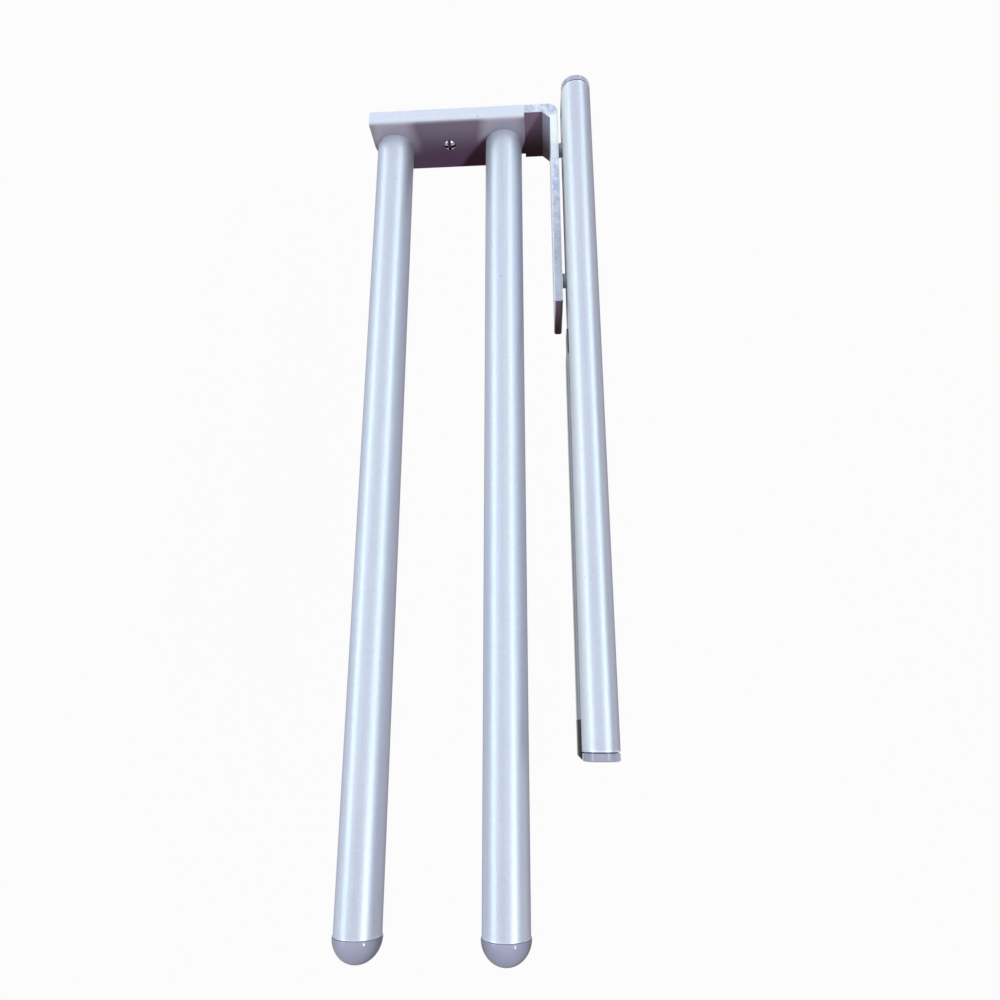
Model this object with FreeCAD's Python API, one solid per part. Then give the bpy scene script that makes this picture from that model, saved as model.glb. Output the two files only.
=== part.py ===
"""Pull-out two-arm towel holder for the side panel of a cabinet.

Two round arms stand on a carrier plate. An angle bracket joins the carrier to the inner rail of a
ball runner, and the runner lies in a slim round-topped aluminium housing that is screwed to the panel.

Frame: X = 0 is the panel face and the holder lies on its -X side. Y runs along the arms, and the
holder pulls out towards -Y. Z is up. The origin is the middle of the row of panel-screw holes.
"""
import FreeCAD
import Part
import os
from math import cos, pi, sin
from FreeCAD import Vector

# Arms
arm_diameter = 16.0
arm_wall = 1.2
arm_length = 315.0
arm_spacing = 48.6
arm_to_panel = 38.0
arm_drop = 6.0
arm_edge_chamfer = 0.25
cap_proud = 0.3
cap_plug_length = 14.0
cap_plug_wall = 1.6
insert_length = 20.0
insert_fit = 0.05

# Carrier plate
carrier_height = 27.4
carrier_face_wall = 2.5
carrier_overhang = 9.5
carrier_setback = 12.2
carrier_lower_corner = 16.0
carrier_top_edge = 2.2
carrier_front_edge = 0.4
carrier_rear_edge = 0.3
pocket_rim = 3.7
pocket_fit = 0.1

# Angle bracket: a bar across behind the carrier and a thinner leg along the rail
bar_thickness = 4.4
bar_height = 26.0
bar_edge = 0.3
corner_flat = 3.2
corner_outside = 4.2
leg_thickness = 3.3
leg_end_corner = 1.1
leg_reach = 90.5
leg_gap = 1.7
tongue_margin = 7.0
leg_hole_inset = 14.0

# Housing profile and its end caps
housing_width = 12.4
housing_height = 28.0
housing_length = 270.0
housing_wall = 1.4
end_cap_thickness = 3.0
end_cap_edge = 0.5
end_cap_seam = 0.45
end_cap_seam_depth = 0.6
port_radius = 1.8
port_inset = 2.9

# Ball runner
rail_web = 1.2
rail_flange = 1.6
rail_corner = 1.5
rail_setback = 4.0
port_to_rail = 0.4
race_gap = 1.8
race_clearance = 0.05
ball_radius = 1.5
balls_in_row = 7
ball_margin = 5.0
cage_length = 70.0
cage_sheet = 0.6
cage_clearance = 0.4
slot_clearance = 0.5
inner_recess = 0.2
inner_front_setback = 10.0
inner_rear_setback = 6.8
stop_lug = 1.5
stop_lug_width = 4.0
stop_gap = 0.5
buffer_gap = 0.2
buffer_height = 7.0

# Cover strip, its clip and the plastic tip, all on the inner rail
strip_height = 10.0
strip_thickness = 1.3
strip_edge = 0.6
clip_length = 11.0
clip_height = 8.4
clip_thickness = 0.9
clip_gap = 10.4
peg_radius = 1.4
peg_fit = 0.05
peg_reach = 0.6
peg_end_gap = 3.0
tip_inset = 0.3
tip_chamfer = 1.2
tip_plug_length = 10.0
tip_side_clearance = 0.1

# Fasteners and their holes
panel_hole_spacing = 192.0
panel_hole_radius = 2.2
access_hole_radius = 4.5
rivet_spacing = 128.0
rivet_radius = 1.5
rivet_head_radius = 2.4
rivet_head_height = 0.7
arm_screw_radius = 2.5
arm_screw_head_radius = 4.6
arm_screw_bite = 12.0
arm_screw_socket = 3.0
bracket_screw_radius = 2.0
bracket_screw_head_radius = 3.8
bracket_screw_socket = 2.5
spacer_radius = 2.9
nut_plate_thickness = 3.0
nut_plate_margin = 8.0
nut_plate_side_gap = 0.5
cap_screw_radius = 1.05
cap_screw_head_radius = 2.1
cap_screw_bite = 9.0
cap_screw_socket = 1.5
socket_depth_share = 0.6
carrier_screw_radius = 1.5
carrier_screw_head_radius = 2.7
carrier_screw_head_height = 1.7
carrier_screw_dome = 1.4
carrier_screw_recess = 0.8
recess_slot_width = 1.3
recess_slot_length = 4.8
recess_slot_depth = 1.2
screw_fit = 0.05
head_fit = 0.1

# Places across the holder (X)
housing_left = -housing_width
housing_middle = -housing_width / 2
right_arm_x = -arm_to_panel
left_arm_x = right_arm_x - arm_spacing
arm_places = {"left": left_arm_x, "right": right_arm_x}
carrier_left = left_arm_x - carrier_overhang
carrier_right = right_arm_x + carrier_overhang
leg_right = housing_left - leg_gap
leg_left = leg_right - leg_thickness
tongue_left = left_arm_x - tongue_margin
outer_web_face = -housing_wall - rail_web
outer_flange_end = housing_left + housing_wall + race_gap / 2
cage_right = outer_web_face - cage_clearance
cage_left = outer_flange_end + cage_clearance
inner_left = housing_left + inner_recess
inner_web_face = inner_left + rail_web
strip_left = inner_left - strip_thickness
inner_right = cage_right - cage_sheet - cage_clearance
ball_x = (outer_web_face + outer_flange_end) / 2

# Places along the holder (Y)
housing_front = -housing_length / 2
housing_rear = housing_length / 2
carrier_front = housing_rear - carrier_setback
bar_front = carrier_front + carrier_face_wall
bar_rear = bar_front + bar_thickness
carrier_rear = bar_rear
arm_front = carrier_front - arm_length
leg_front = carrier_front - leg_reach
leg_holes = (leg_front + leg_hole_inset, bar_rear - corner_outside - leg_hole_inset)
inner_front = housing_front + inner_front_setback
inner_rear = housing_rear - inner_rear_setback
clip_rear = leg_front - clip_gap
strip_rear = clip_rear - clip_length
panel_holes = (-panel_hole_spacing / 2, panel_hole_spacing / 2)
rivet_places = (-rivet_spacing / 2, rivet_spacing / 2)
cage_travel = inner_rear - stop_lug - cage_length / 2 - stop_gap
arm_travel = 2 * cage_travel

# Heights (Z): those of the carrier and the bar are counted from the arms' axis, the others from the runner's
carrier_top = carrier_height / 2
bar_bottom = carrier_top - bar_height
tongue_half = carrier_top - pocket_rim
tongue_corner = carrier_lower_corner - pocket_rim
port_z = housing_height / 2 - port_inset
outer_half = port_z - port_radius - port_to_rail
inner_half = outer_half - rail_flange - race_gap
slot_half = inner_half + slot_clearance
channel_half = inner_half - rail_flange
ball_z = inner_half + race_gap / 2

ALONG_X = Vector(1, 0, 0)
ALONG_Y = Vector(0, 1, 0)
ALONG_Z = Vector(0, 0, 1)
POINT_TOLERANCE = 0.01


def block(x, y, z):
    """Box between the low and high value of each axis."""
    return Part.makeBox(x[1] - x[0], y[1] - y[0], z[1] - z[0], Vector(x[0], y[0], z[0]))


def rod_along_y(radius, x, z, y):
    """Round rod between two places along Y."""
    return Part.makeCylinder(radius, y[1] - y[0], Vector(x, y[0], z), ALONG_Y)


def rod_along_x(radius, y, z, x):
    """Round rod between two places along X."""
    return Part.makeCylinder(radius, x[1] - x[0], Vector(x[0], y, z), ALONG_X)


def drive_socket(width, head_place, direction):
    """What a six-sided drive socket takes out of a screw's head."""
    corner_radius = width / 3 ** 0.5
    start = head_place - direction
    across = direction.cross(ALONG_Z)
    corners = []
    for number in range(6):
        angle = number * pi / 3
        offset = across * cos(angle) + ALONG_Z * sin(angle)
        corners.append(start + offset * corner_radius)
    corners.append(corners[0])
    outline = Part.Face(Part.makePolygon(corners))
    return outline.extrude(direction * (1 + width * socket_depth_share))


def countersunk(head_radius, shank_radius, head_place, direction, length, socket):
    """Flat-headed screw whose head face is at head_place and whose shank runs along direction.

    Socket is the width of its drive socket, or nought for the screw's hole.
    """
    head_height = head_radius - shank_radius
    head = Part.makeCone(head_radius, shank_radius, head_height, head_place, direction)
    shank = Part.makeCylinder(shank_radius, length, head_place, direction)
    screw = head.fuse(shank).removeSplitter()
    if socket:
        screw = screw.cut(drive_socket(socket, head_place, direction))
    return screw


def lowered(shape):
    """Shape of the arms' group, brought down from the runner's axis to the arms'."""
    return shape.translated(Vector(0, 0, -arm_drop))


def round_edges(shape, radius, wanted):
    """Fillet every edge whose two ends and middle all pass the test."""
    edges = []
    for edge in shape.Edges:
        points = [vertex.Point for vertex in edge.Vertexes] + [edge.CenterOfMass]
        if all(wanted(point) for point in points):
            edges.append(edge)
    return shape.makeFillet(radius, edges)


def stadium(inset, y):
    """Upright round-ended section of the housing, drawn in by inset, carried along Y."""
    radius = housing_width / 2 - inset
    shoulder = (housing_height - housing_width) / 2
    left = housing_left + inset
    right = -inset
    crest = shoulder + radius
    top = Part.Arc(Vector(right, y[0], shoulder), Vector(housing_middle, y[0], crest),
                   Vector(left, y[0], shoulder))
    bottom = Part.Arc(Vector(left, y[0], -shoulder), Vector(housing_middle, y[0], -crest),
                      Vector(right, y[0], -shoulder))
    down = Part.LineSegment(Vector(left, y[0], shoulder), Vector(left, y[0], -shoulder))
    up = Part.LineSegment(Vector(right, y[0], -shoulder), Vector(right, y[0], shoulder))
    outline = Part.Wire([top.toShape(), down.toShape(), bottom.toShape(), up.toShape()])
    return Part.Face(outline).extrude(Vector(0, y[1] - y[0], 0))


def ball_races(y):
    """The two round grooves that the balls run in, as solids to cut away."""
    radius = ball_radius + race_clearance
    return [rod_along_y(radius, ball_x, side * ball_z, y) for side in (-1, 1)]


def housing_profile():
    """Round-topped extrusion with a slot on the arms' side and screw ports at top and bottom."""
    span = (housing_front, housing_rear)
    shell = stadium(0, span).cut(stadium(housing_wall, span))
    for side in (-1, 1):
        port = rod_along_y(port_radius, housing_middle, side * port_z, span)
        shell = shell.fuse(port.common(stadium(housing_wall / 2, span)))
    cuts = [block((housing_left - 1, housing_left + 2 * housing_wall), span, (-slot_half, slot_half))]
    for side in (-1, 1):
        port_bore = cap_screw_radius + screw_fit
        cuts.append(rod_along_y(port_bore, housing_middle, side * port_z, span))
    through_back = (-housing_wall - 1, 1)
    for y in panel_holes:
        cuts.append(rod_along_x(panel_hole_radius, y, 0, through_back))
    for y in rivet_places:
        cuts.append(rivet(y, screw_fit))
    return shell.cut(cuts).removeSplitter()


def end_cap(inner_face, outward, notched):
    """Flat plastic cap on one end of the housing, with a narrow groove at the joint and two screw holes."""
    outer_face = inner_face + outward * end_cap_thickness
    groove_face = inner_face + outward * end_cap_seam
    plate = stadium(0, sorted((groove_face, outer_face)))
    plate = round_edges(plate, end_cap_edge, lambda p: abs(p.y - outer_face) < POINT_TOLERANCE)
    seat = stadium(end_cap_seam_depth, sorted((groove_face, inner_face)))
    cuts = [cap_screw(outer_face, -outward, side, screw_fit) for side in (-1, 1)]
    if notched:
        notch_x = (housing_left - 1, inner_right + cage_clearance)
        cuts.append(block(notch_x, (outer_face - 1, inner_face + 1), (-slot_half, slot_half)))
    return plate.fuse(seat).cut(cuts).removeSplitter()


def cap_screw(outer_face, inward, side, fit):
    """One end-cap screw, or its hole when fit is above nought."""
    place = Vector(housing_middle, outer_face, side * port_z)
    length = end_cap_thickness + cap_screw_bite
    return countersunk(cap_screw_head_radius + fit, cap_screw_radius + fit, place,
                       Vector(0, inward, 0), length, 0 if fit else cap_screw_socket)


def end_cap_screws():
    """Two small sunk screws in each end cap."""
    screws = []
    for side in (-1, 1):
        screws.append(cap_screw(housing_front - end_cap_thickness, 1, side, 0))
        screws.append(cap_screw(housing_rear + end_cap_thickness, -1, side, 0))
    return Part.makeCompound(screws)


def rivet(y, fit):
    """Rivet sunk flush on both sides through the runner's web and the housing's back wall."""
    shank = rod_along_x(rivet_radius + fit, y, 0, (outer_web_face, 0))
    head_radius = rivet_head_radius + fit
    faces = ((Vector(outer_web_face, y, 0), ALONG_X), (Vector(0, y, 0), -ALONG_X))
    heads = []
    for place, into in faces:
        heads.append(Part.makeCone(head_radius, rivet_radius, rivet_head_height, place, into))
    return shank.fuse(heads).removeSplitter()


def rail_rivets():
    """The rivets that hold the runner in the housing."""
    return Part.makeCompound([rivet(y, 0) for y in rivet_places])


def outer_rail():
    """Fixed steel channel of the runner, with ball races, screw holes and a stop lug for the cage."""
    span = (housing_front + rail_setback, housing_rear - rail_setback)
    body = block((outer_flange_end, -housing_wall), span, (-outer_half, outer_half))

    def on_back_corner(point):
        at_back = abs(point.x + housing_wall) < POINT_TOLERANCE
        return at_back and abs(abs(point.z) - outer_half) < POINT_TOLERANCE

    body = round_edges(body, rail_corner, on_back_corner)
    hollow_half = outer_half - rail_flange
    hollow = block((outer_flange_end - 1, outer_web_face), span, (-hollow_half, hollow_half))
    cuts = [hollow] + ball_races(span)
    panel_head_radius = panel_hole_radius + rail_web
    for y in panel_holes:
        sunk_place = Vector(outer_web_face, y, 0)
        cuts.append(Part.makeCone(panel_head_radius, panel_hole_radius, rail_web, sunk_place, ALONG_X))
    for y in rivet_places:
        cuts.append(rivet(y, screw_fit))
    rail = body.cut(cuts)
    lug_rear = -cage_length / 2 - cage_travel - stop_gap
    lug_x = (cage_right - cage_sheet, outer_web_face)
    lug = block(lug_x, (lug_rear - stop_lug, lug_rear), (-stop_lug_width / 2, stop_lug_width / 2))
    return rail.fuse(lug).removeSplitter()


def rear_buffer():
    """Rubber block on the rear end cap that the inner rail closes against."""
    y = (inner_rear + buffer_gap, housing_rear)
    return block((inner_web_face, inner_right), y, (-buffer_height / 2, buffer_height / 2))


def ball_places():
    """Middle points of all the balls, two rows of them."""
    pitch = (cage_length - 2 * ball_margin) / (balls_in_row - 1)
    first = -cage_length / 2 + ball_margin
    return [Vector(ball_x, first + index * pitch, side * ball_z)
            for side in (-1, 1) for index in range(balls_in_row)]


def ball_retainer():
    """Thin folded strip that keeps the balls apart."""
    span = (-cage_length / 2, cage_length / 2)
    flange_half = ball_z + cage_sheet / 2
    folded = block((cage_left, cage_right), span, (-flange_half, flange_half))
    inside = flange_half - cage_sheet
    cuts = [block((cage_left - 1, cage_right - cage_sheet), span, (-inside, inside))]
    for place in ball_places():
        foot = Vector(place.x, place.y, place.z - ball_radius)
        cuts.append(Part.makeCylinder(ball_radius + race_clearance, 2 * ball_radius, foot, ALONG_Z))
    return folded.cut(cuts)


def bearing_balls():
    """Steel balls of the runner."""
    return Part.makeCompound([Part.makeSphere(ball_radius, place) for place in ball_places()])


def peg_places():
    """Places along Y of the cover strip's pegs."""
    front = inner_front + tip_plug_length + peg_end_gap
    rear = strip_rear - peg_end_gap - peg_radius
    return (front, (front + rear) / 2, rear)


def clip_peg_place():
    """Place along Y of the clip's one peg."""
    return clip_rear - clip_length / 2


def inner_rail():
    """Moving steel channel of the runner, with ball races, screw holes and two stop lugs."""
    span = (inner_front, inner_rear)
    body = block((inner_left, inner_right), span, (-inner_half, inner_half))

    def on_web_corner(point):
        at_web = abs(point.x - inner_left) < POINT_TOLERANCE
        return at_web and abs(abs(point.z) - inner_half) < POINT_TOLERANCE

    body = round_edges(body, rail_web / 2, on_web_corner)
    cuts = [block((inner_web_face, inner_right + 1), span, (-channel_half, channel_half))]
    cuts += ball_races(span)
    through_web = (inner_left - 1, inner_web_face + 1)
    for y in leg_holes:
        cuts.append(rod_along_x(bracket_screw_radius + screw_fit, y, 0, through_web))
    cuts.append(rod_along_x(access_hole_radius, panel_holes[0], 0, through_web))
    for y in peg_places() + (clip_peg_place(),):
        cuts.append(rod_along_x(peg_radius + peg_fit, y, 0, through_web))
    rail = body.cut(cuts)
    lug_x = (inner_right, cage_right)
    lug_y = (inner_rear - stop_lug, inner_rear)
    for side in (-1, 1):
        lug_z = sorted((side * channel_half, side * inner_half))
        rail = rail.fuse(block(lug_x, lug_y, lug_z))
    return rail.removeSplitter()


def peg(y):
    """Snap peg of a clip-on piece, from the face of the rail's web to just inside the channel."""
    return rod_along_x(peg_radius, y, 0, (inner_left, inner_web_face + peg_reach))


def rail_cover_strip():
    """Grey strip clipped over the rail's web in front of the leg."""
    half = strip_height / 2
    strip = block((strip_left, inner_left), (inner_front, strip_rear), (-half, half))
    strip = round_edges(strip, strip_edge, lambda p: abs(p.x - strip_left) < POINT_TOLERANCE)
    return strip.fuse([peg(y) for y in peg_places()]).removeSplitter()


def strip_rear_clip():
    """Thin black clip behind the cover strip, a little short of the leg's front end."""
    half = clip_height / 2
    plate = block((inner_left - clip_thickness, inner_left), (strip_rear, clip_rear), (-half, half))
    return plate.fuse(peg(clip_peg_place())).removeSplitter()


def rail_front_tip():
    """Black plastic tip on the inner rail's front end, which fills the notch of the front cap."""
    front = housing_front - end_cap_thickness + tip_inset
    half = inner_half - tip_side_clearance
    head = block((strip_left, inner_right), (front, inner_front), (-half, half))

    def on_front_left(point):
        return abs(point.x - strip_left) < POINT_TOLERANCE and abs(point.y - front) < POINT_TOLERANCE

    front_left = [edge for edge in head.Edges if all(on_front_left(v.Point) for v in edge.Vertexes)]
    head = head.makeChamfer(tip_chamfer, front_left)
    plug_half = channel_half - tip_side_clearance
    plug_x = (inner_web_face + tip_side_clearance, inner_right)
    plug = block(plug_x, (inner_front, inner_front + tip_plug_length), (-plug_half, plug_half))
    return head.fuse(plug).removeSplitter()


def bracket_spacers():
    """Washers that stand the leg off the inner rail."""
    washers = []
    for y in leg_holes:
        washer = rod_along_x(spacer_radius, y, 0, (leg_right, inner_left))
        hole = rod_along_x(bracket_screw_radius + screw_fit, y, 0, (leg_right - 1, inner_left + 1))
        washers.append(washer.cut(hole))
    return Part.makeCompound(washers)


def bracket_nut_plate():
    """Threaded bar inside the inner rail that both leg screws pull on."""
    span = (leg_holes[0] - nut_plate_margin, leg_holes[1] + nut_plate_margin)
    half = channel_half - nut_plate_side_gap
    x = (inner_web_face, inner_web_face + nut_plate_thickness)
    plate = block(x, span, (-half, half))
    holes = [rod_along_x(bracket_screw_radius + screw_fit, y, 0, (x[0] - 1, x[1] + 1)) for y in leg_holes]
    return plate.cut(holes)


def bracket_screw(y, fit):
    """One sunk screw through the leg into the nut plate, or its hole when fit is above nought."""
    length = inner_web_face + nut_plate_thickness - leg_left
    return countersunk(bracket_screw_head_radius + fit, bracket_screw_radius + fit,
                       Vector(leg_left, y, 0), ALONG_X, length, 0 if fit else bracket_screw_socket)


def bracket_screws():
    """The two screws that hold the leg to the inner rail."""
    return Part.makeCompound([bracket_screw(y, 0) for y in leg_holes])


def arm_screw(x, fit):
    """One sunk screw from behind the carrier into an arm, or its hole when fit is above nought."""
    length = bar_rear - carrier_front + arm_screw_bite
    return countersunk(arm_screw_head_radius + fit, arm_screw_radius + fit,
                       Vector(x, bar_rear, 0), -ALONG_Y, length, 0 if fit else arm_screw_socket)


def arm_screws():
    """The two screws that clamp the arms, the carrier and the bar together."""
    return Part.makeCompound([arm_screw(x, 0) for x in arm_places.values()])


def bracket_plan():
    """Plan outline of the bracket: bar across, leg, and a corner round outside and flat inside."""
    low = bar_bottom
    centre_x = leg_right - corner_outside
    centre_y = bar_rear - corner_outside
    diagonal = corner_outside * 0.5 ** 0.5
    bar_back = Vector(tongue_left, bar_rear, low)
    round_start = Vector(centre_x, bar_rear, low)
    round_middle = Vector(centre_x + diagonal, centre_y + diagonal, low)
    round_end = Vector(leg_right, centre_y, low)
    leg_outer = Vector(leg_right, leg_front, low)
    leg_inner = Vector(leg_left, leg_front, low)
    flat_start = Vector(leg_left, bar_front - corner_flat, low)
    flat_end = Vector(leg_left - corner_flat, bar_front, low)
    bar_face = Vector(tongue_left, bar_front, low)
    straight = [(bar_back, round_start), (round_end, leg_outer), (leg_outer, leg_inner),
                (leg_inner, flat_start), (flat_start, flat_end), (flat_end, bar_face), (bar_face, bar_back)]
    edges = [Part.LineSegment(start, end).toShape() for start, end in straight]
    edges.insert(1, Part.Arc(round_start, round_middle, round_end).toShape())
    return Part.Face(Part.Wire(edges))


def tongue(fit, y):
    """The bar's narrower end with its round lower corner, or its pocket when fit is above nought."""
    left = tongue_left - fit
    half = tongue_half + fit
    whole = block((left, carrier_right + 1), y, (-half, half))

    def on_lower_left(point):
        return abs(point.x - left) < POINT_TOLERANCE and abs(point.z + half) < POINT_TOLERANCE

    return round_edges(whole, tongue_corner + fit, on_lower_left)


def l_bracket():
    """Angle bracket: a bar whose narrower tongue lies in the carrier's pocket, and a leg along the rail."""
    bracket = bracket_plan().extrude(Vector(0, 0, bar_height))

    def on_leg_end_upright(point):
        on_side = min(abs(point.x - leg_left), abs(point.x - leg_right)) < POINT_TOLERANCE
        return on_side and abs(point.y - leg_front) < POINT_TOLERANCE

    bracket = round_edges(bracket, leg_end_corner, on_leg_end_upright)
    for level in (carrier_top, bar_bottom):
        bracket = round_edges(bracket, bar_edge, lambda p: abs(p.z - level) < POINT_TOLERANCE)
    behind_carrier = block((tongue_left - 1, carrier_right + pocket_fit), (bar_front - 1, bar_rear + 1),
                           (bar_bottom - 1, carrier_top + 1))
    bracket = bracket.cut(behind_carrier).fuse(tongue(0, (bar_front, bar_rear))).removeSplitter()
    cuts = [carrier_screw_shank(screw_fit)]
    cuts += [arm_screw(x, screw_fit) for x in arm_places.values()]
    bracket = lowered(bracket.cut(cuts))
    return bracket.cut([bracket_screw(y, screw_fit) for y in leg_holes])


def carrier_screw_place():
    """Middle of the carrier's face between the arms, where its screw sits."""
    return Vector((left_arm_x + right_arm_x) / 2, carrier_front + carrier_screw_recess, 0)


def carrier_screw_shank(fit):
    """Shank of the carrier's screw, or its hole when fit is above nought."""
    place = carrier_screw_place()
    return Part.makeCylinder(carrier_screw_radius + fit, bar_rear - place.y, place, ALONG_Y)


def carrier_screw():
    """Cross-recessed pan screw in the carrier's face."""
    place = carrier_screw_place()
    top = place.y - carrier_screw_head_height
    head = rod_along_y(carrier_screw_head_radius, place.x, place.z, (top, place.y))
    head = round_edges(head, carrier_screw_dome, lambda p: abs(p.y - top) < POINT_TOLERANCE)
    deep = (top - 1, top + recess_slot_depth)
    long_half = recess_slot_length / 2
    wide_half = recess_slot_width / 2
    upright = block((place.x - wide_half, place.x + wide_half), deep, (-long_half, long_half))
    level = block((place.x - long_half, place.x + long_half), deep, (-wide_half, wide_half))
    return head.fuse(carrier_screw_shank(0)).cut([upright, level]).removeSplitter()


def carrier_outline():
    """Front outline of the carrier: square top corners and round lower corners."""
    y = carrier_front
    radius = carrier_lower_corner
    turn = radius * (1 - 0.5 ** 0.5)
    low = -carrier_top
    left_arc = Part.Arc(Vector(carrier_left, y, low + radius), Vector(carrier_left + turn, y, low + turn),
                        Vector(carrier_left + radius, y, low))
    right_arc = Part.Arc(Vector(carrier_right - radius, y, low), Vector(carrier_right - turn, y, low + turn),
                         Vector(carrier_right, y, low + radius))
    top_left = Vector(carrier_left, y, carrier_top)
    top_right = Vector(carrier_right, y, carrier_top)
    left_side = Part.LineSegment(top_left, Vector(carrier_left, y, low + radius))
    bottom = Part.LineSegment(Vector(carrier_left + radius, y, low), Vector(carrier_right - radius, y, low))
    right_side = Part.LineSegment(Vector(carrier_right, y, low + radius), top_right)
    top = Part.LineSegment(top_right, top_left)
    edges = [left_side, left_arc, bottom, right_arc, right_side, top]
    return Part.Face(Part.Wire([edge.toShape() for edge in edges]))


def carrier_top_round():
    """What the carrier's front top edge loses to its round."""
    x = (carrier_left - 1, carrier_right + 1)
    centre_y = carrier_front + carrier_top_edge
    centre_z = carrier_top - carrier_top_edge
    corner = block(x, (carrier_front - 1, centre_y), (centre_z, carrier_top + 1))
    return corner.cut(rod_along_x(carrier_top_edge, centre_y, centre_z, x))


def arm_carrier():
    """Plate that both arms stand on, with a pocket at the back for the bar's tongue."""
    plate = carrier_outline().extrude(Vector(0, carrier_rear - carrier_front, 0))
    plate = round_edges(plate, carrier_front_edge, lambda p: abs(p.y - carrier_front) < POINT_TOLERANCE)
    plate = round_edges(plate, carrier_rear_edge, lambda p: abs(p.y - carrier_rear) < POINT_TOLERANCE)
    head_radius = carrier_screw_head_radius + head_fit
    head_place = carrier_screw_place()
    cuts = [
        carrier_top_round(),
        tongue(pocket_fit, (bar_front, bar_rear + 1)),
        carrier_screw_shank(screw_fit),
        rod_along_y(head_radius, head_place.x, head_place.z, (carrier_front - 1, head_place.y)),
    ]
    for x in arm_places.values():
        cuts.append(rod_along_y(arm_screw_radius + screw_fit, x, 0, (carrier_front - 1, bar_rear)))
    return plate.cut(cuts)


def arm_tube(x):
    """Round aluminium tube with lightly broken outer edges."""
    span = (arm_front, carrier_front)
    radius = arm_diameter / 2
    solid = rod_along_y(radius, x, 0, span)
    rims = [edge for edge in solid.Edges if abs(edge.Length - pi * arm_diameter) < POINT_TOLERANCE]
    rims = [edge for edge in rims if len(edge.Vertexes) == 1]
    solid = solid.makeChamfer(arm_edge_chamfer, rims)
    return solid.cut(rod_along_y(radius - arm_wall, x, 0, (span[0] - 1, span[1] + 1)))


def arm_cap(x):
    """Round-nosed plastic cap with a hollow plug that sits in the tube's front end."""
    place = Vector(x, arm_front, 0)
    nose = Part.makeSphere(arm_diameter / 2 + cap_proud, place, -ALONG_Y, 0, 90, 360)
    plug_radius = arm_diameter / 2 - arm_wall - insert_fit
    plug_y = (arm_front, arm_front + cap_plug_length)
    plug = rod_along_y(plug_radius, x, 0, plug_y)
    hollow = rod_along_y(plug_radius - cap_plug_wall, x, 0, (plug_y[0], plug_y[1] + 1))
    return nose.fuse(plug).cut(hollow).removeSplitter()


def arm_insert(x):
    """Threaded plug in the tube's rear end that takes the arm's screw."""
    radius = arm_diameter / 2 - arm_wall - insert_fit
    plug = rod_along_y(radius, x, 0, (carrier_front - insert_length, carrier_front))
    bore_y = (carrier_front - arm_screw_bite, carrier_front + 1)
    return plug.cut(rod_along_y(arm_screw_radius + screw_fit, x, 0, bore_y))


def all_pieces():
    """Every piece of the holder by name."""
    pieces = {
        "housing_profile": housing_profile(),
        "front_end_cap": end_cap(housing_front, -1, True),
        "rear_end_cap": end_cap(housing_rear, 1, False),
        "end_cap_screws": end_cap_screws(),
        "outer_rail": outer_rail(),
        "rail_rivets": rail_rivets(),
        "rear_buffer": rear_buffer(),
        "ball_retainer": ball_retainer(),
        "bearing_balls": bearing_balls(),
        "inner_rail": inner_rail(),
        "rail_cover_strip": rail_cover_strip(),
        "strip_rear_clip": strip_rear_clip(),
        "rail_front_tip": rail_front_tip(),
        "bracket_spacers": bracket_spacers(),
        "bracket_nut_plate": bracket_nut_plate(),
        "bracket_screws": bracket_screws(),
        "l_bracket": l_bracket(),
        "arm_carrier": lowered(arm_carrier()),
        "carrier_screw": lowered(carrier_screw()),
        "arm_screws": lowered(arm_screws()),
    }
    for side, x in arm_places.items():
        pieces[side + "_arm_tube"] = lowered(arm_tube(x))
        pieces[side + "_arm_cap"] = lowered(arm_cap(x))
        pieces[side + "_arm_insert"] = lowered(arm_insert(x))
    return pieces


os.makedirs("parts", exist_ok=True)
for name, shape in all_pieces().items():
    shape.exportStep("parts/" + name + ".step")
print("arm travel", round(arm_travel, 3), "mm, cage travel", round(cage_travel, 3), "mm")
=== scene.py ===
"""Looks of the pull-out towel holder: a finish for every piece, soft studio light and the camera."""

import math

import bpy
from mathutils import Matrix, Vector


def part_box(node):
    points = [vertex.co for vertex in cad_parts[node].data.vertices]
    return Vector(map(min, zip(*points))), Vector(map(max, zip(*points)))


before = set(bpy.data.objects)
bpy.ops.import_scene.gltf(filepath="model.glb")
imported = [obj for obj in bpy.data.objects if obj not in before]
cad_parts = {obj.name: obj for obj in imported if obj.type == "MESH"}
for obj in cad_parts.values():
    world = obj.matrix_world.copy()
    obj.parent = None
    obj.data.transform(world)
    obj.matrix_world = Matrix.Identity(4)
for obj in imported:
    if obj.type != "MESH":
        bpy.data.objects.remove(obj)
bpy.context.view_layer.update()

# Every pair of limits below says where a change starts and where it is full
MILLIMETRES = 1000.0

# Camera, fitted to the photograph: its place in metres, its directions, and its lens in millimetres
CAMERA_PLACE = (-0.02368, -0.12599, 0.25950)
CAMERA_RIGHT = (0.99812, -0.00125, -0.06132)
CAMERA_UP = (0.01911, 0.95637, 0.29152)
CAMERA_LENS = 26.25
CAMERA_SENSOR = 36.0
CAMERA_NEAREST = 0.01

# Floor: its depth below the runner's middle and its width in metres, and its look
FLOOR_DEPTH = 0.176
FLOOR_SIZE = 60.0
FLOOR_WHITE_SHARE = 0.96
FLOOR_COLOUR = (0.30, 0.29, 0.29)
FLOOR_ROUGHNESS = 0.9

# Room: the light of its parts, and the angles of its walls about the arms, counted from straight up
ROOM_COLOUR = (0.98, 0.96, 1.0)
ROOM_CEILING = 0.80
ROOM_LEFT = 0.60
ROOM_RIGHT = 0.20
ROOM_FRONT = 0.30
LEFT_WALL = (math.radians(-55.0), math.radians(-90.0))
RIGHT_WALL = (math.radians(40.0), math.radians(75.0))

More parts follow.
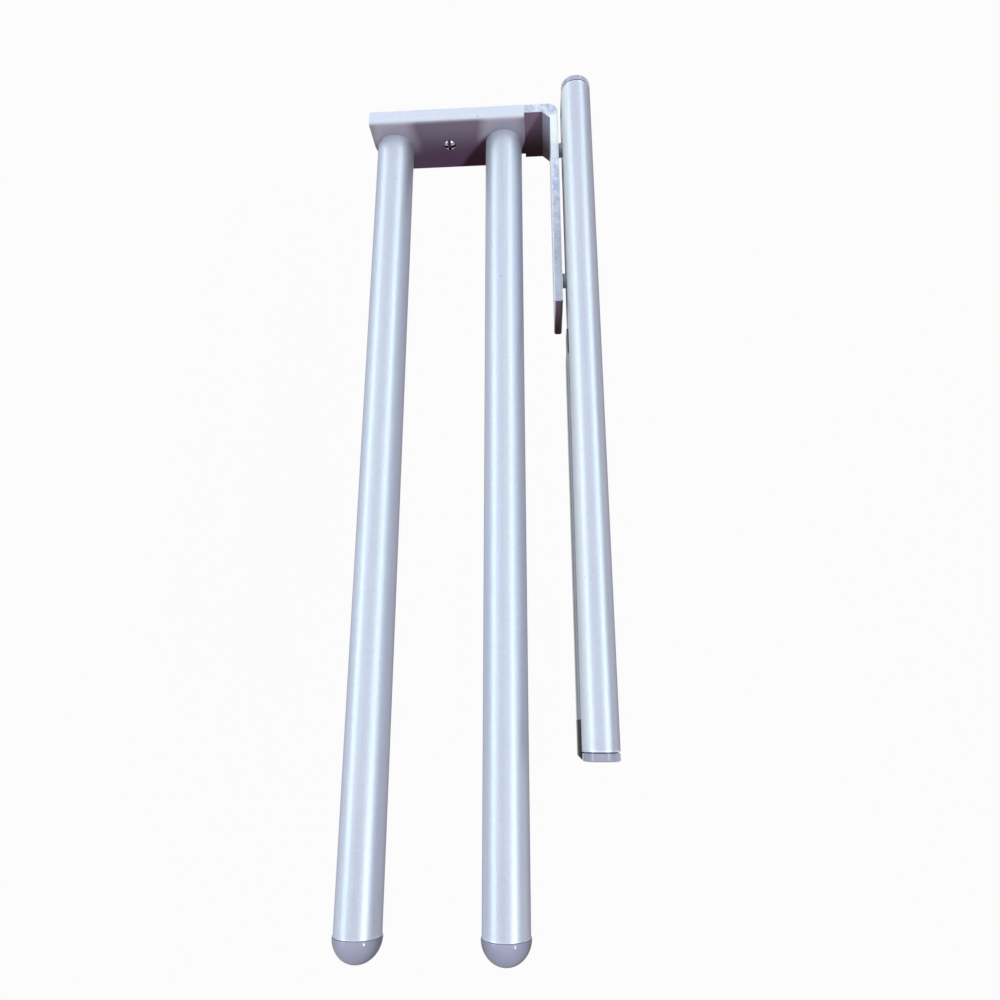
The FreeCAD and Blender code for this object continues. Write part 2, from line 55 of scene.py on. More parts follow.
# Panels of light above the arms: the angle and half width of each in degrees, and its strength
PANEL_COLOUR = (0.80, 1.0, 0.92)
LIGHT_PANELS = ((42.0, 12.0, 3.9), (-58.0, 12.0, 4.0))

# How far a direction points to the rear where the plain front, the plain rear and the panels begin
PLAIN_FRONT = (-0.10, -0.80)
PLAIN_REAR = (0.66, 0.84)
PANEL_FRONT = (-0.60, -0.30)

# Lamp for the glints: the direction towards it, its width in degrees and its strength
LAMP_TOWARDS = (0.625, -0.42, 0.658)
LAMP_WIDTH = 5.0
LAMP_STRENGTH = 0.45

# Satin aluminium: its shader, its colours, the width and strength of the painted highlight on its rims,
# and the painted shade and painted light on its flanks by how far they face sideways
SATIN_SHADER = {"Metallic": 0.58, "Specular IOR Level": 0.2, "Specular Tint": (0.12, 0.11, 0.16)}
SATIN_DARK = (0.60, 0.645, 0.785)
SATIN_LIGHT = (0.69, 0.735, 0.865)
PIT_COLOUR = (0.22, 0.22, 0.25)
# Colour of real wear on the bracket's scratches, and of painted highlights on rims, flanks and edges
WEAR_AND_HIGHLIGHT_METAL = (0.90, 0.94, 0.97)
# Painted shade on the flank towards the panel
PAINTED_FLANK_SHADE = (0.36, 0.33, 0.41)
RIM_WIDTH = (0.7, 0.25)
RIM_HIGHLIGHT = 0.7
SHADED_FLANK_FULL = 0.98
SHADED_FLANK_SHARE = 0.65
LIT_FLANK = (-0.48, -0.80)

# Front of the carrier: its colours, which are painted shade, a painted shadow and painted light with a
# painted reflection of the arms, and places in millimetres from the arms' axes
# Painted light, painted shade and the darkest painted shade of the front; the last two also shade the
# screw
FRONT_PAINTED_LIGHT = (0.60, 0.545, 0.64)
FRONT_PAINTED_SHADE = (0.121, 0.071, 0.125)
DEEP_PAINTED_SHADE = (0.039, 0.011, 0.021)
FRONT_ROUGHER = 0.15
CARRIER_FRONT = (-0.35, -0.95)
# Painted reflection of the arms round their roots, and painted light along the top
ROOT_WIDTH = (15.0, 5.0)
ROOT_HEIGHT = (-7.0, 6.0)
TOP_HEIGHT = (-6.0, 13.0)
TOP_PALENESS = 0.35
# Painted shadow under a slanting line towards the right arm
CARRIER_HALF_HEIGHT = 13.7
SHADE_START = 20.2
SHADE_SLOPE = 1.4
SHADE_EDGE = (-3.5, 1.5)
SHADE_TOP = (7.0, 1.0)
SHADE_SIDE = 6.0
SHADE_SHARE = 0.9

# Bracket: its colours, with a painted highlight and painted shade on the leg and painted light and shade
# on the bar's front and corner, and places in millimetres from its rear, its right side or the arms' axes
BRACKET_SHADER = {"Metallic": 0.35, "Specular IOR Level": 0.1}
PATCH_DARK = (0.42, 0.48, 0.73)
PATCH_LIGHT = (0.80, 0.85, 0.95)
BRACKET_SIDE = (0.64, 0.68, 0.83)
# Painted highlight and painted shade on the leg's top
LEG_PAINTED_HIGHLIGHT = (0.92, 1.0, 1.0)
LEG_PAINTED_SHADE = (0.31, 0.335, 0.44)
# Painted light, painted shade and painted shadow on the bar's front and on the flat in its corner
BAR_LIT = (0.41, 0.31, 0.45)
BAR_SHADED = (0.19, 0.117, 0.16)
BAR_SHADOW = (0.016, 0.002, 0.006)
CORNER_PAINTED_LIGHT = (0.45, 0.46, 0.58)
CORNER_PAINTED_SHADE = (0.06, 0.03, 0.055)
BRACKET_FRONT = (-0.25, -0.85)
CORNER_FACING = (-0.45, -0.65)
CORNER_PLACE = 6.5
# Where the leg's painted highlight and painted shade lie
LEG_HIGHLIGHT_START = (3.5, 8.0)
LEG_HIGHLIGHT_END = (30.0, 14.0)
LEG_HIGHLIGHT_WIDTH = (7.0, 3.0)
LEG_SHADE_START = (30.0, 75.0)
BAR_SHADE_HEIGHT = (-9.0, 13.0)
BAR_LIT_SLOPE = 2.0
BAR_LIT_EDGE = (13.0, 18.0)
BAR_LIT_SHARE = 0.45

# Other metal, and sizes in millimetres of the carrier screw's head and of its recess, which gets painted
# shade
RAIL_STEEL = (0.66, 0.67, 0.69)
FASTENER_STEEL = (0.46, 0.46, 0.48)
INSERT_ALUMINIUM = (0.74, 0.75, 0.79)
SCUFF_COLOUR = (0.36, 0.36, 0.38)
POLISHED_STEEL = (0.82, 0.82, 0.84)
STEEL_DIRT = (0.30, 0.28, 0.28)
SCREW_HEAD = 1.7
RECESS_UPRIGHT = (0.70, 0.45)
RECESS_LEVEL = (0.85, 0.60)
RECESS_FADE = 0.2

# Plastic and rubber, and the widths of their edges with painted shade and painted highlights, in
# millimetres
ARM_CAP = (0.37, 0.365, 0.505)
FRONT_CAP = (0.36, 0.355, 0.49)
REAR_CAP = (0.42, 0.42, 0.58)
STRIP_GREY = (0.44, 0.43, 0.50)
# Painted shade along the strip's left edge
STRIP_EDGE_SHADE = (0.21, 0.21, 0.20)
BLACK_PLASTIC = (0.035, 0.028, 0.036)
# Painted highlight along the clip's left edge
CLIP_EDGE_HIGHLIGHT = (0.30, 0.28, 0.30)
WHITE_NYLON = (0.86, 0.86, 0.87)
DUST_COLOUR = (0.75, 0.75, 0.78)
# Painted shade in the joints between the end caps and the housing
JOINT_PAINTED_SHADE = (0.035, 0.035, 0.085)
RUBBER_DARK = (0.018, 0.018, 0.019)
RUBBER_LIGHT = (0.045, 0.045, 0.047)
JOINT_WIDTH = 0.5
STRIP_EDGE = 0.5
CLIP_EDGE = 0.4
EDGE_FADE = 1.0

# Colour sockets of a Mix node, which has others of the same names
MIX_FIRST = 6
MIX_SECOND = 7
MIX_RESULT = 2


class Value:
    """An output of a node. Sums, differences and products of values add Math nodes."""

    def __init__(self, nodes, socket):
        self.nodes = nodes
        self.socket = socket

    def output(self, name):
        """Another output of the same node."""
        return Value(self.nodes, self.socket.node.outputs[name])

    def maths(self, operation, first, second):
        """Result of a Math node."""
        return self.nodes.node("ShaderNodeMath", {"operation": operation}, {0: first, 1: second})

    def __add__(self, other):
        return self.maths("ADD", self, other)

    def __radd__(self, other):
        return self.maths("ADD", other, self)

    def __sub__(self, other):
        return self.maths("SUBTRACT", self, other)

    def __rsub__(self, other):
        return self.maths("SUBTRACT", other, self)

    def __mul__(self, other):
        return self.maths("MULTIPLY", self, other)

    def __rmul__(self, other):
        return self.maths("MULTIPLY", other, self)

    def largest(self, other):
        """The larger of two values."""
        return self.maths("MAXIMUM", self, other)

    def distance_to(self, other):
        """Size of the difference of two values."""
        return self.maths("ABSOLUTE", self - other, 0.0)

    def step(self, low, high):
        """Nought below low, one above high and smooth between them. Low above high turns it round."""
        settings = {"interpolation_type": "SMOOTHSTEP"}
        if low < high:
            sockets = {"Value": self, "From Min": low, "From Max": high, "To Min": 0.0, "To Max": 1.0}
        else:
            sockets = {"Value": self, "From Min": high, "From Max": low, "To Min": 1.0, "To Max": 0.0}
        return self.nodes.node("ShaderNodeMapRange", settings, sockets)


class Nodes:
    """A node tree and the one way to add nodes to it."""

    def __init__(self, tree):
        self.tree = tree

    def put(self, socket, content):
        """Set a socket to a number, a colour or a vector, or link a value to it."""
        if isinstance(content, Value):
            self.tree.links.new(content.socket, socket)
        elif socket.type == "RGBA":
            socket.default_value = (*content, 1.0)
        else:
            socket.default_value = content

    def node(self, kind, settings=None, sockets=None, output=0):
        """Add a node: its settings first, then its sockets. Gives back one of its outputs."""
        made = self.tree.nodes.new(kind)
        for key, content in (settings or {}).items():
            setattr(made, key, content)
        for key, content in (sockets or {}).items():
            self.put(made.inputs[key], content)
        return Value(self, made.outputs[output])


class Finish(Nodes):
    """A material made of nodes, with one surface shader."""

    def __init__(self, name, constants):
        self.material = bpy.data.materials.new(name)
        self.material.use_nodes = True
        super().__init__(self.material.node_tree)
        self.surface = self.tree.nodes["Principled BSDF"]
        for socket, content in constants.items():
            self.put(self.surface.inputs[socket], content)

    def feed(self, colour, roughness, normal):
        """Link what changes over the surface to the shader."""
        self.put(self.surface.inputs["Base Color"], colour)
        self.put(self.surface.inputs["Roughness"], roughness)
        self.put(self.surface.inputs["Normal"], normal)

    def millimetres(self, stretch=(1.0, 1.0, 1.0), turn=(0.0, 0.0, 0.0)):
        """The piece's own coordinates in millimetres, stretched and turned for a pattern."""
        place = self.node("ShaderNodeTexCoord", output="Object")
        scale = tuple(MILLIMETRES * share for share in stretch)
        return self.node("ShaderNodeMapping", sockets={"Vector": place, "Scale": scale, "Rotation": turn})

    def along(self, axis):
        """One coordinate of the piece in millimetres."""
        return self.node("ShaderNodeSeparateXYZ", sockets={0: self.millimetres()}, output=axis)

    def facing(self, axis):
        """How far the surface faces along an axis, from -1 to 1."""
        normal = self.node("ShaderNodeTexCoord", output="Normal")
        return self.node("ShaderNodeSeparateXYZ", sockets={0: normal}, output=axis)

    def noise(self, place, scale, detail=2.0, roughness=0.5, distortion=0.0):
        """Cloudy noise from nought to one; scale counts its lumps per millimetre."""
        sockets = {
            "Vector": place,
            "Scale": scale,
            "Detail": detail,
            "Roughness": roughness,
            "Distortion": distortion,
        }
        return self.node("ShaderNodeTexNoise", sockets=sockets)

    def specks(self, scale, radius, share):
        """Round specks in the cells of a Voronoi pattern, of which only a share holds one."""
        sockets = {"Vector": self.millimetres(), "Scale": scale}
        distance = self.node("ShaderNodeTexVoronoi", sockets=sockets, output="Distance")
        lot = self.node("ShaderNodeSeparateXYZ", sockets={0: distance.output("Color")})
        empty = 1.0 - share
        return distance.step(radius, radius * 0.5) * lot.step(empty, empty + 0.01)

    def blend(self, factor, first, second):
        """Colour between two colours."""
        sockets = {"Factor": factor, MIX_FIRST: first, MIX_SECOND: second}
        return self.node("ShaderNodeMix", {"data_type": "RGBA"}, sockets, MIX_RESULT)

    def bump(self, height, strength, depth):
        """Normal of a height map whose full height is a depth in millimetres."""
        sockets = {"Height": height, "Strength": strength, "Distance": depth / MILLIMETRES}
        return self.node("ShaderNodeBump", sockets=sockets)


def scaled(colour, share):
    """Colour made lighter or darker, no channel above one."""
    return tuple(min(channel * share, 1.0) for channel in colour)


def satin_layers(finish, tone=1.0, drawn=1.0):
    """Colour, roughness and normal of blasted and anodised aluminium.

    Fine grain, coarser mottle, faint drawn lines along the length and a few tiny pits. Tone is how
    light the metal is, and drawn how strong its lines are.
    """
    place = finish.millimetres()
    drawn_out = finish.millimetres(stretch=(1.6, 0.012, 1.6))
    slow = finish.millimetres(stretch=(1.0, 0.4, 1.0))
    grain = finish.noise(place, scale=2.6, detail=3.0, roughness=0.6)
    mottle = finish.noise(place, scale=0.8, detail=2.0, roughness=0.6)
    lines = finish.noise(drawn_out, scale=1.0, detail=4.0, roughness=0.6)
    lines = 0.5 + (lines - 0.5) * drawn
    cloud = finish.noise(slow, scale=0.05, detail=3.0, roughness=0.55)
    pits = finish.specks(scale=0.11, radius=0.045, share=0.35)
    shade = (grain * 0.35 + mottle * 0.25 + lines * 0.25 + cloud * 0.15).step(0.34, 0.66)
    colour = finish.blend(shade, scaled(SATIN_DARK, tone), scaled(SATIN_LIGHT, tone))
    colour = finish.blend(pits * 0.55, colour, PIT_COLOUR)
    roughness = 0.42 + cloud * 0.08 - lines * 0.05
    height = grain * 0.6 + mottle * 0.2 + lines * 0.2 - pits * 0.6
    return colour, roughness, finish.bump(height, strength=0.22, depth=0.06)


def satin_aluminium(name, ends, shade_from, lit_side):
    """Satin aluminium of the tubes and the housing, with a painted highlight on the rims at its two ends.

    Its flank towards the panel gets painted shade from where it faces the panel by the given amount,
    and its other flank gets painted light of the given strength.
    """
    finish = Finish(name, SATIN_SHADER)
    colour, roughness, normal = satin_layers(finish)
    length = finish.along("Y")
    front_rim, rear_rim = (length.distance_to(end).step(*RIM_WIDTH) for end in ends)
    rims = front_rim.largest(rear_rim)
    # Painted shade on the flank towards the panel; painted highlights on the rims and on the other flank
    flank = finish.facing("X")
    painted_shade = flank.step(shade_from, SHADED_FLANK_FULL) * SHADED_FLANK_SHARE
    painted_highlight = (rims * RIM_HIGHLIGHT).largest(flank.step(*LIT_FLANK) * lit_side)
    colour = finish.blend(painted_shade, colour, PAINTED_FLANK_SHADE)
    colour = finish.blend(painted_highlight, colour, WEAR_AND_HIGHLIGHT_METAL)
    finish.feed(colour, roughness - rims * 0.1, normal)
    return finish.material


def carrier_aluminium(name, arm_places, arm_height):
    """Satin aluminium whose front has painted shade, with painted light along its top and a painted
    reflection of the arms round their roots.

    Under a slanting line, a painted shadow darkens the front towards the right arm.
    """
    finish = Finish(name, SATIN_SHADER)
    colour, roughness, normal = satin_layers(finish, tone=1.2, drawn=0.2)
    across = finish.along("X")
    up = finish.along("Z") - arm_height
    # Painted reflection of the arms round their roots, and painted light along the top
    near_left, near_right = (across.distance_to(place).step(*ROOT_WIDTH) for place in arm_places)
    arm_reflections = near_left.largest(near_right) * up.step(*ROOT_HEIGHT)
    pale = arm_reflections.largest(up.step(*TOP_HEIGHT) * TOP_PALENESS)
    right = arm_places[1]
    # Painted shadow under a slanting line towards the right arm
    under_line = (across - (right - SHADE_START)) * SHADE_SLOPE - (up + CARRIER_HALF_HEIGHT)
    painted_shadow = under_line.step(*SHADE_EDGE) * up.step(*SHADE_TOP) * across.step(right, right - SHADE_SIDE)
    # Painted shade over the whole front, with the painted light and the painted shadow
    front_colour = finish.blend(pale, FRONT_PAINTED_SHADE, FRONT_PAINTED_LIGHT)
    front_colour = finish.blend(painted_shadow * SHADE_SHARE, front_colour, DEEP_PAINTED_SHADE)
    front = finish.facing("Y").step(*CARRIER_FRONT)
    colour = finish.blend(front, colour, front_colour)
    finish.feed(colour, roughness + front * FRONT_ROUGHER, normal)
    return finish.material


def bracket_front(finish, colour, front, corner_place, arm_height):
    """Colour with painted shade on the bar's front and on the flat in its corner, both darker towards
    their bottoms.

    Above a slanting line, painted light brightens the front.
    """
    up = finish.along("Z") - arm_height
    # Painted shade, darker towards the bottom, and painted light above a slanting line
    shaded = up.step(*BAR_SHADE_HEIGHT)
    over_line = up - (finish.along("X") - corner_place) * BAR_LIT_SLOPE
    front_colour = finish.blend(shaded, BAR_SHADOW, BAR_SHADED)
    front_colour = finish.blend(over_line.step(*BAR_LIT_EDGE) * BAR_LIT_SHARE, front_colour, BAR_LIT)
    corner = finish.facing("X").step(*CORNER_FACING) * finish.facing("Y").step(*CORNER_FACING)
    corner_colour = finish.blend(shaded, CORNER_PAINTED_SHADE, CORNER_PAINTED_LIGHT)
    colour = finish.blend(front, colour, front_colour)
    return finish.blend(corner, colour, corner_colour)


def bracket_aluminium(name, box, arm_height):
    """Sawn and tumbled bar: cloudy patches, short scratches, and rounded edges lighter where they face
    up, partly wear and partly a painted highlight.

    Its leg's top has a painted highlight near the bend and painted shade towards its end. The bar's
    front has painted shade and painted light.
    """
    finish = Finish(name, BRACKET_SHADER)
    slow = finish.millimetres(stretch=(1.0, 0.6, 1.0))
    slanting = finish.millimetres(stretch=(2.4, 0.05, 2.4), turn=(0.0, 0.0, 0.5))
    patches = finish.noise(slow, scale=0.28, detail=4.0, roughness=0.65, distortion=0.6)
    fine = finish.noise(finish.millimetres(), scale=1.4, detail=4.0, roughness=0.7)
    scratches = finish.noise(slanting, scale=1.0, detail=2.0, roughness=0.5).step(0.68, 0.74)
    shade = (patches * 0.6 + fine * 0.4).step(0.36, 0.60)
    level = finish.facing("Z")
    right_side = box[1].x
    from_rear = box[1].y - finish.along("Y")
    # Painted shade on the leg's top towards its end, and a painted highlight near the bend
    painted_shade = from_rear.step(*LEG_SHADE_START) * level.step(0.5, 0.9)
    highlight_from, highlight_full = (right_side - width for width in LEG_HIGHLIGHT_WIDTH)
    painted_leg_highlight = from_rear.step(*LEG_HIGHLIGHT_START) * from_rear.step(*LEG_HIGHLIGHT_END)
    painted_leg_highlight = painted_leg_highlight * finish.along("X").step(highlight_from, highlight_full)
    # Rounded edges facing up: partly wear, partly a painted highlight
    edges = level.step(0.10, 0.40) * level.step(0.985, 0.90)
    front = finish.facing("Y").step(*BRACKET_FRONT)
    colour = finish.blend(shade, PATCH_DARK, PATCH_LIGHT)
    colour = finish.blend(level.step(0.7, 0.3) * 0.6, colour, BRACKET_SIDE)
    # Painted shade and painted highlight on the leg's top; the scratches are wear
    colour = finish.blend(painted_shade * 0.6, colour, LEG_PAINTED_SHADE)
    colour = finish.blend(painted_leg_highlight * 0.9, colour, LEG_PAINTED_HIGHLIGHT)
    colour = finish.blend(scratches * 0.5, colour, WEAR_AND_HIGHLIGHT_METAL)
    colour = finish.blend(edges * 0.9, colour, WEAR_AND_HIGHLIGHT_METAL)
    colour = bracket_front(finish, colour, front, right_side - CORNER_PLACE, arm_height)
    roughness = 0.30 + patches * 0.18 - scratches * 0.08 + front * FRONT_ROUGHER
    height = patches * 0.5 + fine * 0.3 - scratches * 0.4
    finish.feed(colour, roughness, finish.bump(height, strength=0.25, depth=0.08))
    return finish.material


def moulded_plastic(name, colour, spread, roughness, edge=None):
    """Moulded plastic: a faint orange-peel skin, slow changes of gloss and a little dust.

    Spread is how much its tone changes. Edge is the axis, the place, the colour and the width of a
    long edge that gets painted shade or a painted highlight, and the height that it ends at.
    """
    finish = Finish(name, {"Specular IOR Level": 0.6})
    peel = finish.noise(finish.millimetres(), scale=1.1)
    cloud = finish.noise(finish.millimetres(), scale=0.12, detail=3.0)
    dust = finish.specks(scale=0.5, radius=0.06, share=0.12)
    shade = (cloud * 0.7 + peel * 0.3).step(0.3, 0.7)
    base = finish.blend(shade, scaled(colour, 1.0 - spread), scaled(colour, 1.0 + spread))
    base = finish.blend(dust * 0.35, base, DUST_COLOUR)
    if edge:
        axis, place, edge_colour, width, bottom = edge
        # The edge colour is painted shade at the joints and on the strip, and a painted highlight on the
        # clip
        near_edge = finish.along(axis).distance_to(place).step(width, width * 0.6)
        near_edge = near_edge * finish.along("Z").step(bottom - EDGE_FADE, bottom)
        base = finish.blend(near_edge, base, edge_colour)
    normal = finish.bump(peel - dust * 0.3, strength=0.2, depth=0.02)
    finish.feed(base, roughness + cloud * 0.10, normal)
    return finish.material


def cap_plastic(name, colour):
    """Glossy moulded plastic of the arm caps, with painted shade and less gloss towards their noses and
    undersides.
    """
    finish = Finish(name, {"Specular IOR Level": 0.3})
    peel = finish.noise(finish.millimetres(), scale=1.1)
    cloud = finish.noise(finish.millimetres(), scale=0.12, detail=3.0)
    base = finish.blend(cloud.step(0.3, 0.7), scaled(colour, 0.95), scaled(colour, 1.05))
    # Painted shade towards the noses and undersides
    low = finish.facing("Z").step(0.90, 0.25) * finish.facing("Y").step(0.6, 0.2)
    base = finish.blend(low * 0.92, base, scaled(colour, 0.30))
    roughness = 0.11 + cloud * 0.04 + low * 0.43
    finish.feed(base, roughness, finish.bump(peel, strength=0.1, depth=0.02))
    return finish.material


def drawn_metal(name, colour, roughness):
    """Plated steel or plain aluminium: drawn lines along the length, cloudy skin and small scuffs."""
    finish = Finish(name, {"Metallic": 1.0})
    drawn_out = finish.millimetres(stretch=(3.0, 0.02, 3.0))
    slanting = finish.millimetres(stretch=(0.6, 1.8, 0.6), turn=(0.3, 0.2, 0.4))
    lines = finish.noise(drawn_out, scale=1.0, detail=4.0, roughness=0.6)
    cloud = finish.noise(finish.millimetres(), scale=0.16, detail=4.0, roughness=0.6, distortion=0.8)
    scuffs = finish.noise(slanting, scale=0.8).step(0.66, 0.74)
    red, green, blue = colour
    warm = (red * 1.04, green, blue * 0.90)
    cool = (red * 0.88, green * 0.95, blue * 1.06)
    base = finish.blend(cloud.step(0.35, 0.65), cool, warm)
    base = finish.blend(scuffs * 0.4, base, SCUFF_COLOUR)
    normal = finish.bump(lines - scuffs * 0.3, strength=0.2, depth=0.03)
    finish.feed(base, roughness + lines * 0.14 + scuffs * 0.12, normal)
    return finish.material


def bright_steel(name, cross=None):
    """Polished steel with fine handling marks and a little dirt.

    Cross is the place across, up and along of a screw's recess. Painted shade darkens the recess and the
    head's front.
    """
    finish = Finish(name, {"Metallic": 1.0})
    slanting = finish.millimetres(stretch=(4.0, 4.0, 0.5), turn=(0.4, 0.0, 0.7))
    marks = finish.noise(slanting, scale=1.0, detail=3.0, roughness=0.6)
    dirt = finish.noise(finish.millimetres(), scale=0.9, detail=3.0, roughness=0.6).step(0.58, 0.72)
    base = finish.blend(dirt * 0.6, POLISHED_STEEL, STEEL_DIRT)
    if cross:
        across, up, front = cross
        head_end = front + SCREW_HEAD
        upright = finish.along("X").distance_to(across).step(*RECESS_UPRIGHT)
        level = finish.along("Z").distance_to(up).step(*RECESS_LEVEL)
        recess = upright.largest(level) * finish.along("Y").step(head_end, head_end - RECESS_FADE)
        # Painted shade on the head's front and, darker, in its cross recess
        base = finish.blend(finish.facing("Y").step(-0.75, -1.0) * 0.7, base, FRONT_PAINTED_SHADE)
        base = finish.blend(recess * 0.97, base, DEEP_PAINTED_SHADE)
    roughness = 0.12 + marks * 0.12 + dirt * 0.2
    finish.feed(base, roughness, finish.bump(marks, strength=0.15, depth=0.02))
    return finish.material


def rubber(name):
    """Black rubber with a fine matt grain."""
    finish = Finish(name, {"Specular IOR Level": 0.3})
    grain = finish.noise(finish.millimetres(), scale=3.0, detail=3.0, roughness=0.6)
    base = finish.blend(grain, RUBBER_DARK, RUBBER_LIGHT)
    finish.feed(base, 0.75 + grain * 0.15, finish.bump(grain, strength=0.4, depth=0.05))
    return finish.material


def dress(material, *nodes):
    """Give pieces their finish."""
    for node in nodes:
        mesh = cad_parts[node].data
        mesh.materials.clear()
        mesh.materials.append(material)


def corners(node):
    """Lowest and highest corner of a piece at rest, in millimetres."""
    return [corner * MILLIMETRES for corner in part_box(node)]


def middle(node):
    """Middle of a piece at rest, in millimetres."""
    low, high = corners(node)
    return (low + high) / 2


def dress_aluminium():
    """Finishes of the arms, the housing, the carrier, the bracket and the arms' inserts."""
    arm_ends = [corner.y for corner in corners("left_arm_tube")]
    arm_satin = satin_aluminium("arm_satin", arm_ends, shade_from=0.60, lit_side=0.0)
    dress(arm_satin, "left_arm_tube", "right_arm_tube")
    housing_ends = [corner.y for corner in corners("housing_profile")]
    housing_satin = satin_aluminium("housing_satin", housing_ends, shade_from=0.36, lit_side=0.75)
    dress(housing_satin, "housing_profile")
    arm_places = [middle(node).x for node in ("left_arm_tube", "right_arm_tube")]
    arm_height = middle("left_arm_tube").z
    dress(carrier_aluminium("carrier_satin", arm_places, arm_height), "arm_carrier")
    dress(bracket_aluminium("bracket_mill", corners("l_bracket"), arm_height), "l_bracket")
    insert_mill = drawn_metal("insert_mill", INSERT_ALUMINIUM, roughness=0.30)
    dress(insert_mill, "left_arm_insert", "right_arm_insert")


def dress_steel():
    """Finishes of the runner, the rivets and the screws."""
    rail_steel = drawn_metal("rail_steel", RAIL_STEEL, roughness=0.24)
    dress(rail_steel, "outer_rail", "inner_rail", "ball_retainer", "bracket_nut_plate")
    fastener_steel = drawn_metal("fastener_steel", FASTENER_STEEL, roughness=0.28)
    dress(fastener_steel, "end_cap_screws", "rail_rivets", "bracket_screws", "arm_screws")
    dress(bright_steel("bright_steel"), "bearing_balls")
    screw_front = corners("carrier_screw")[0].y
    cross = (middle("carrier_screw").x, middle("left_arm_tube").z, screw_front)
    dress(bright_steel("screw_steel", cross), "carrier_screw")


def dress_caps():
    """Finishes of the arms' caps and of the housing's, with painted shade in the joints to the housing.
    """
    dress(cap_plastic("arm_cap_plastic", ARM_CAP), "left_arm_cap", "right_arm_cap")
    low, high = corners("housing_profile")
    # Painted shade in the joints to the housing
    front_joint = ("Y", low.y, JOINT_PAINTED_SHADE, JOINT_WIDTH, low.z)
    rear_joint = ("Y", high.y, JOINT_PAINTED_SHADE, JOINT_WIDTH, low.z)
    front = moulded_plastic("front_cap_plastic", FRONT_CAP, spread=0.06, roughness=0.05, edge=front_joint)
    rear = moulded_plastic("rear_cap_plastic", REAR_CAP, spread=0.06, roughness=0.05, edge=rear_joint)
    dress(front, "front_end_cap")
    dress(rear, "rear_end_cap")


def dress_small_pieces():
    """Finishes of the cover strip with its clip and tip, the spacers and the buffer."""
    strip_low, strip_high = corners("rail_cover_strip")
    # Painted shade along the strip's left edge
    shaded_edge = ("X", strip_low.x, STRIP_EDGE_SHADE, STRIP_EDGE, strip_high.z - EDGE_FADE)
    strip = moulded_plastic("strip_plastic", STRIP_GREY, spread=0.08, roughness=0.45, edge=shaded_edge)
    dress(strip, "rail_cover_strip")
    clip_low, clip_high = corners("strip_rear_clip")
    # Painted highlight along the clip's left edge
    painted_highlight = ("X", clip_low.x, CLIP_EDGE_HIGHLIGHT, CLIP_EDGE, clip_high.z - EDGE_FADE)
    clip = moulded_plastic("clip_plastic", BLACK_PLASTIC, spread=0.15, roughness=0.42, edge=painted_highlight)
    dress(clip, "strip_rear_clip")
    dress(moulded_plastic("black_plastic", BLACK_PLASTIC, spread=0.15, roughness=0.42), "rail_front_tip")
    dress(moulded_plastic("white_nylon", WHITE_NYLON, spread=0.03, roughness=0.5), "bracket_spacers")
    dress(rubber("black_rubber"), "rear_buffer")


def seen_rays(finish):
    """One for rays of the camera, of reflections and of clear things."""
    camera = finish.node("ShaderNodeLightPath", output="Is Camera Ray")
    glossy = camera.output("Is Glossy Ray")
    clear = camera.output("Is Transmission Ray")
    return camera.largest(glossy).largest(clear)


def add_floor():
    """Plain pale floor well below the holder. It looks white and keeps a little of the shadow."""
    half = FLOOR_SIZE / 2
    square = ((-half, -half), (half, -half), (half, half), (-half, half))
    mesh = bpy.data.meshes.new("floor")
    mesh.from_pydata([(x, y, -FLOOR_DEPTH) for x, y in square], [], [(0, 1, 2, 3)])
    floor = bpy.data.objects.new("floor", mesh)
    bpy.context.scene.collection.objects.link(floor)
    finish = Finish("floor_pale", {"Base Color": FLOOR_COLOUR, "Roughness": FLOOR_ROUGHNESS})
    white = finish.node("ShaderNodeEmission", sockets={"Color": (1.0, 1.0, 1.0), "Strength": 1.0})
    seen = seen_rays(finish) * FLOOR_WHITE_SHARE
    pale = Value(finish, finish.surface.outputs["BSDF"])
    mixed = finish.node("ShaderNodeMixShader", sockets={0: seen, 1: pale, 2: white})
    finish.put(finish.tree.nodes["Material Output"].inputs["Surface"], mixed)
    mesh.materials.append(finish.material)


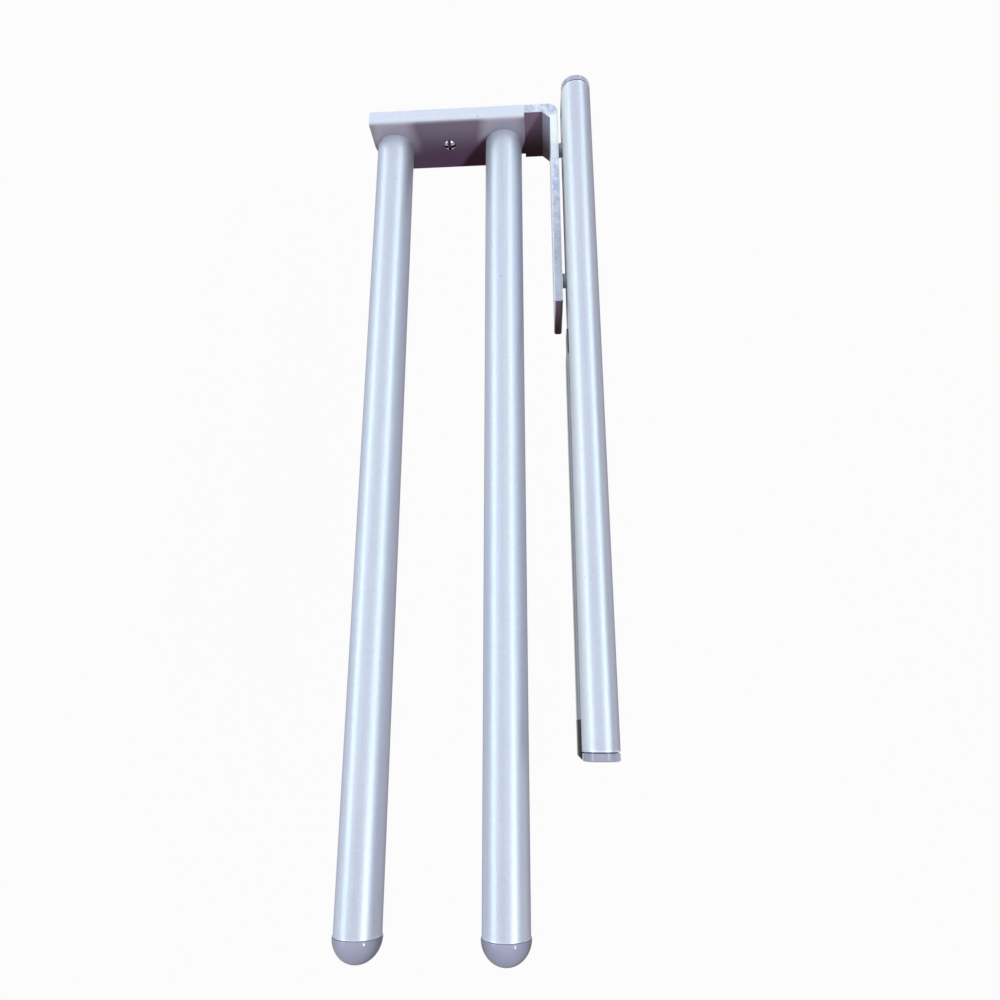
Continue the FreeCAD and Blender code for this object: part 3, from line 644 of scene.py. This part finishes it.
def add_world():
    """Soft studio light: a pale room with two long bright panels above, one on each side of the arms.

    The light depends on the angle about the arms' direction, so each panel draws one even band along
    them. The room's front and rear are plain.
    """
    world = bpy.data.worlds.new("studio")
    bpy.context.scene.world = world
    world.use_nodes = True
    room = Nodes(world.node_tree)
    direction = room.node("ShaderNodeTexCoord", output="Generated")
    across = room.node("ShaderNodeSeparateXYZ", sockets={0: direction}, output="X")
    along = across.output("Y")
    above = across.output("Z")
    angle = across.maths("ARCTAN2", across, above)
    front = along.step(*PLAIN_FRONT)
    rear = along.step(*PLAIN_REAR)
    walls = ROOM_CEILING - angle.step(*RIGHT_WALL) * (ROOM_CEILING - ROOM_RIGHT)
    walls = walls - angle.step(*LEFT_WALL) * (ROOM_CEILING - ROOM_LEFT)
    walls = walls * (1.0 - front) + front * ROOM_FRONT
    walls = walls * (1.0 - rear) + rear * ROOM_CEILING
    panels = 0.0
    for degrees, half_width, strength in LIGHT_PANELS:
        from_panel = angle.distance_to(math.radians(degrees))
        panels = panels + from_panel.step(math.radians(half_width), 0.0) * strength
    panels = panels * along.step(*PANEL_FRONT) * (1.0 - rear)
    wall_light = room.node("ShaderNodeBackground", sockets={"Color": ROOM_COLOUR, "Strength": walls})
    panel_light = room.node("ShaderNodeBackground", sockets={"Color": PANEL_COLOUR, "Strength": panels})
    both = room.node("ShaderNodeAddShader", sockets={0: wall_light, 1: panel_light})
    room.put(world.node_tree.nodes["World Output"].inputs["Surface"], both)


def add_lamp():
    """Small lamp above the arms and in front, for the glints on the glossy caps."""
    lamp = bpy.data.objects.new("lamp", bpy.data.lights.new("lamp", "SUN"))
    lamp.data.angle = math.radians(LAMP_WIDTH)
    lamp.data.energy = LAMP_STRENGTH
    lamp.rotation_euler = Vector(LAMP_TOWARDS).to_track_quat("Z", "Y").to_euler()
    bpy.context.scene.collection.objects.link(lamp)


def add_camera():
    """Camera at the photograph's place and angle."""
    camera = bpy.data.objects.new("camera", bpy.data.cameras.new("camera"))
    bpy.context.scene.collection.objects.link(camera)
    right = Vector(CAMERA_RIGHT).normalized()
    back = right.cross(Vector(CAMERA_UP)).normalized()
    up = back.cross(right)
    turn = Matrix((right, up, back)).transposed().to_4x4()
    camera.matrix_world = Matrix.Translation(CAMERA_PLACE) @ turn
    camera.data.lens = CAMERA_LENS
    camera.data.sensor_width = CAMERA_SENSOR
    camera.data.clip_start = CAMERA_NEAREST
    bpy.context.scene.camera = camera


dress_aluminium()
dress_steel()
dress_caps()
dress_small_pieces()
add_floor()
add_world()
add_lamp()
add_camera()
bpy.context.scene.view_settings.view_transform = "Standard"
